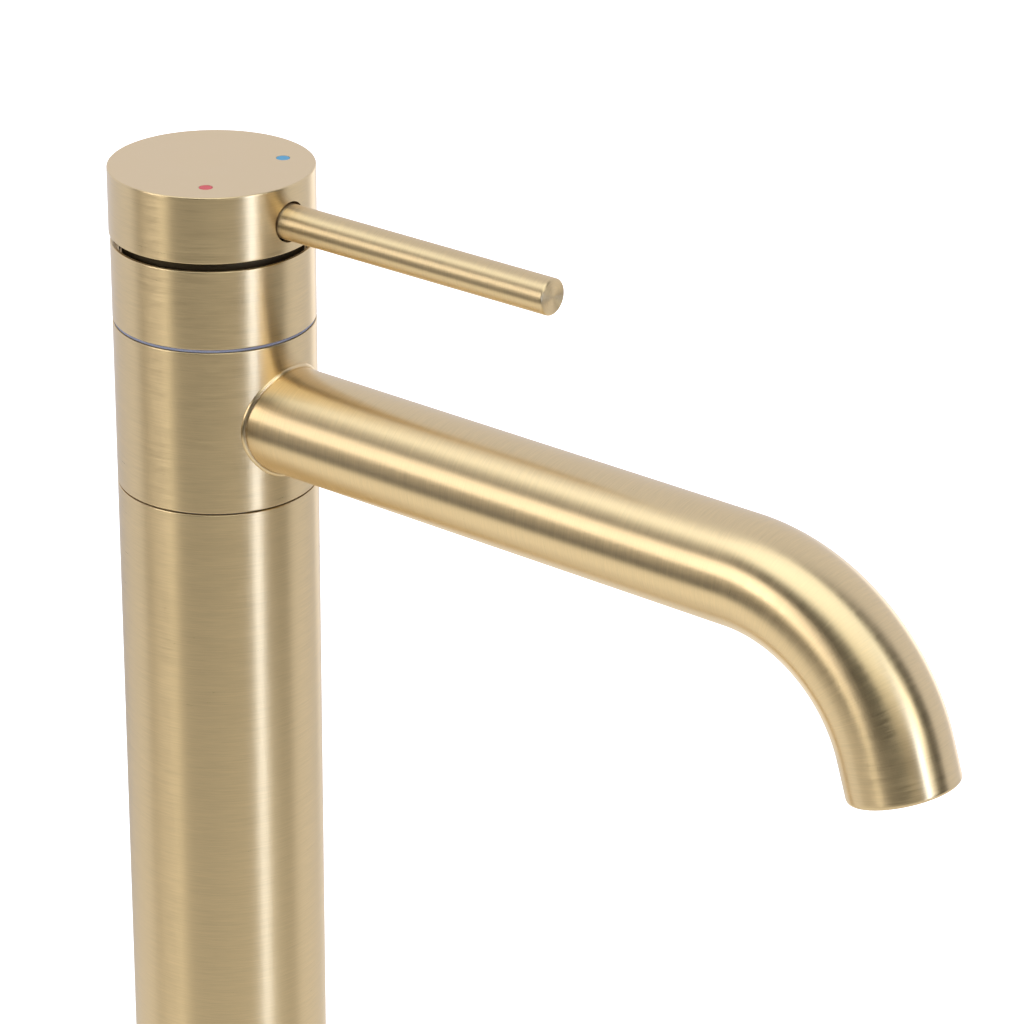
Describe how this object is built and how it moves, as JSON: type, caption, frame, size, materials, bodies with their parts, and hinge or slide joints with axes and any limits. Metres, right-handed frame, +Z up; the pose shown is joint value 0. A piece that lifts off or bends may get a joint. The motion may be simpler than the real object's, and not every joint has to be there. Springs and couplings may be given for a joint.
{
  "type": "bathroom mixer faucet",
  "caption": "Tall single-lever basin mixer with a brushed gold column, a swivel spout that bends down at its end, and a thin rod lever on a round cap.",
  "frame": {"origin": "centre of the column's foot, on the deck's surface", "axes": "+Z up along the column; +X along the spout and the lever at rest; +Y towards the cold side"},
  "size_m": [0.2231, 0.054, 0.36],
  "materials": {
    "brushed_gold": "satin gold coating over fine brushing",
    "raw_brass": "machined, uncoated",
    "steel": "plain stainless",
    "rubber": "matte",
    "grey_plastic": "smooth moulded",
    "white_plastic": "smooth moulded",
    "ceramic": "lapped alumina",
    "hot_enamel": "red enamel",
    "cold_enamel": "blue enamel"
  },
  "bodies": {
    "body": {"column_shell": "brushed_gold", "base_shank": "raw_brass", "base_seal": "rubber", "deck_gasket": "rubber", "deck_washer": "steel", "lock_nut": "raw_brass", "valve_body": "raw_brass", "lower_oring": "rubber", "upper_oring": "rubber", "lower_slip_ring": "grey_plastic", "upper_slip_ring": "grey_plastic", "cartridge_ring": "brushed_gold", "cartridge_nut": "raw_brass", "cartridge_seal": "rubber", "cartridge_base": "white_plastic", "disc_seal": "rubber", "fixed_disc": "ceramic", "cartridge_housing": "white_plastic"},
    "spout": {"spout_collar": "brushed_gold", "spout_tube": "brushed_gold", "aerator_housing": "white_plastic", "aerator_seal": "rubber", "aerator_insert": "grey_plastic"},
    "rotor": {"cartridge_rotor": "grey_plastic", "stem_pin": "steel"},
    "disc": {"moving_disc": "ceramic", "disc_driver": "white_plastic"},
    "handle": {"handle_cap": "brushed_gold", "lever_rod": "brushed_gold", "handle_grub_screw": "steel", "hot_mark": "hot_enamel", "cold_mark": "cold_enamel", "cartridge_stem": "steel"}
  },
  "joints": [
    {"name": "spout_swivel", "type": "hinge", "parent": "body", "child": "spout", "pos_m": [0, 0, 0.2555], "axis": [0, 0, 1], "continuous": true},
    {"name": "temperature_turn", "type": "hinge", "parent": "body", "child": "rotor", "pos_m": [0, 0, 0.292], "axis": [0, 0, 1], "range_deg": [-50, 50]},
    {"name": "lever_lift", "type": "hinge", "parent": "rotor", "child": "handle", "pos_m": [-0.007, 0, 0.292], "axis": [0, -1, 0], "range_deg": [0, 12]},
    {"name": "disc_slide", "type": "slide", "parent": "rotor", "child": "disc", "axis": [1, 0, 0], "range_m": [0, 0.00162]}
  ],
  "couplings": [
    {"joint": "disc_slide", "follows": "lever_lift", "m_per_rad": 0.0077}
  ]
}
